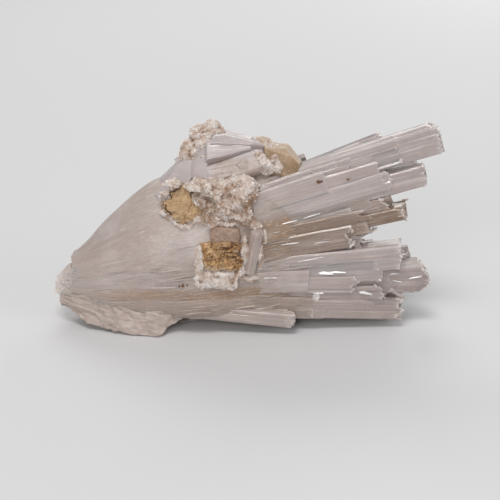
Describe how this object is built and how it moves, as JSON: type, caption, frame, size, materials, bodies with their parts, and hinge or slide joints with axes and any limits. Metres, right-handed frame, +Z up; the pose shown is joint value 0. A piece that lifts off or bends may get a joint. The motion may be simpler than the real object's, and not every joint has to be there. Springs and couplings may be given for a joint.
{
  "type": "scolecite crystal cluster",
  "caption": "Fan of fused milky prismatic crystals lying on its side, with a crossing crystal group, honey calcite, sugary crusts and stained rock patches.",
  "frame": {"origin": "on the resting plane, under the middle of the cluster's box", "axes": "+X along the crystals from the broken root towards their tips, +Y towards the back, +Z up as it lies"},
  "size_m": [0.1376, 0.0543, 0.0736],
  "materials": {
    "milky_scolecite": "milky to glassy, striated along the crystals, silky",
    "crossing_scolecite": "milky, smooth faced, satin",
    "honey_calcite": "translucent honey, frosted on top",
    "sugary_crust": "fine grains, sparkling, peach to white",
    "tan_matrix_rock": "matt, fibrous, cracked",
    "brown_matrix_rock": "matt, stained, crumbly",
    "stilbite": "pinkish tan, satin, flat cleavage"
  },
  "bodies": {
    "root": {"scolecite_spray": "milky_scolecite", "crossing_crystals": "crossing_scolecite", "cross_prism": "crossing_scolecite", "calcite_crystal": "honey_calcite", "calcite_crust": "sugary_crust", "summit_crust": "sugary_crust", "middle_crust": "sugary_crust", "lower_crust": "sugary_crust", "tan_matrix": "tan_matrix_rock", "brown_matrix": "brown_matrix_rock", "stilbite_plate": "stilbite"}
  },
  "joints": []
}
